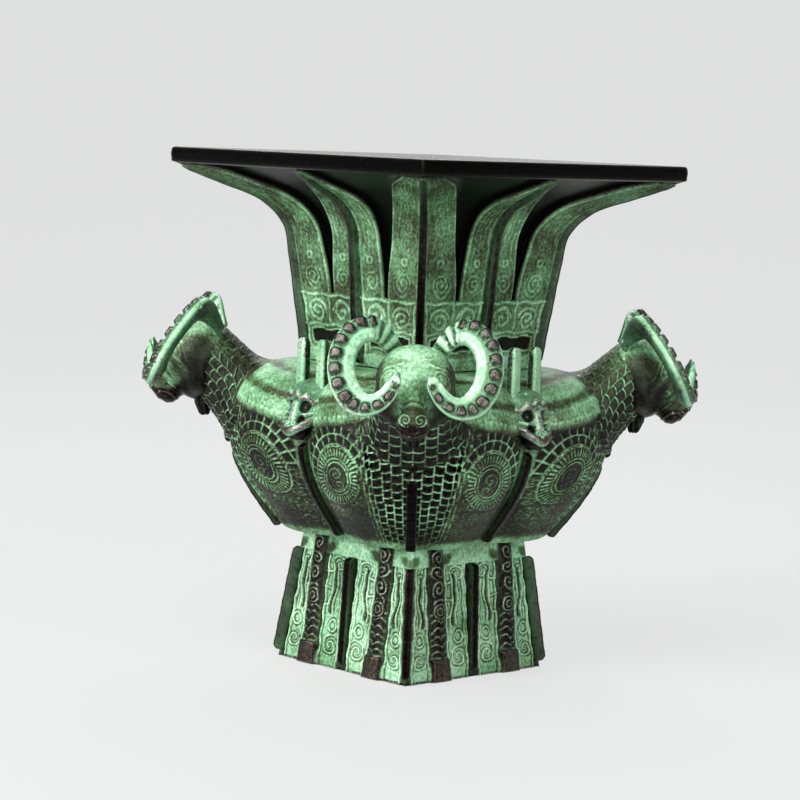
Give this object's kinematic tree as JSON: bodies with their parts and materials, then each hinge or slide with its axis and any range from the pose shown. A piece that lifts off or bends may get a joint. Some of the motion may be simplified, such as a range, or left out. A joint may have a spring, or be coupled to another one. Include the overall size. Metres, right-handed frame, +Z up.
{
  "type": "ritual bronze zun vessel",
  "caption": "Square flared bronze wine vessel on a hollow foot, with ram heads and coiled horns at the corners, beast masks on the shoulder and dark flanges on every edge.",
  "frame": {"origin": "centre of the foot's underside, on the ground", "axes": "+Z up through the mouth; the four sides face -Y, +X, +Y and -X, and the rams stand on the diagonals between them"},
  "size_m": [0.1398, 0.1398, 0.1503],
  "materials": {
    "verdigris": "green verdigris over dark cast bronze, rubbed light on the raised lines",
    "dark_bronze": "dark brown-black patina, satin",
    "rubbed_bronze": "pale rubbed verdigris with bare grey-brown high points"
  },
  "bodies": {
    "root": {"foot_casting": "verdigris", "floor_plate": "dark_bronze", "belly_casting": "verdigris", "neck_casting": "verdigris", "ram_head_front_right": "verdigris", "ram_head_back_right": "verdigris", "ram_head_back_left": "verdigris", "ram_head_front_left": "verdigris", "ram_horn_front_right_a": "rubbed_bronze", "ram_horn_front_right_b": "rubbed_bronze", "ram_horn_back_right_a": "rubbed_bronze", "ram_horn_back_right_b": "rubbed_bronze", "ram_horn_back_left_a": "rubbed_bronze", "ram_horn_back_left_b": "rubbed_bronze", "ram_horn_front_left_a": "rubbed_bronze", "ram_horn_front_left_b": "rubbed_bronze", "beast_head_front": "rubbed_bronze", "beast_head_right": "rubbed_bronze", "beast_head_back": "rubbed_bronze", "beast_head_left": "rubbed_bronze", "foot_corner_flange_front_right": "dark_bronze", "foot_corner_flange_back_right": "dark_bronze", "foot_corner_flange_back_left": "dark_bronze", "foot_corner_flange_front_left": "dark_bronze", "chest_fin_front_right": "dark_bronze", "chest_fin_back_right": "dark_bronze", "chest_fin_back_left": "dark_bronze", "chest_fin_front_left": "dark_bronze", "neck_corner_flange_front_right": "dark_bronze", "neck_corner_flange_back_right": "dark_bronze", "neck_corner_flange_back_left": "dark_bronze", "neck_corner_flange_front_left": "dark_bronze", "foot_side_flange_front": "dark_bronze", "foot_side_flange_right": "dark_bronze", "foot_side_flange_back": "dark_bronze", "foot_side_flange_left": "dark_bronze", "belly_side_flange_front": "dark_bronze", "belly_side_flange_right": "dark_bronze", "belly_side_flange_back": "dark_bronze", "belly_side_flange_left": "dark_bronze", "neck_side_flange_front": "dark_bronze", "neck_side_flange_right": "dark_bronze", "neck_side_flange_back": "dark_bronze", "neck_side_flange_left": "dark_bronze"}
  },
  "joints": []
}
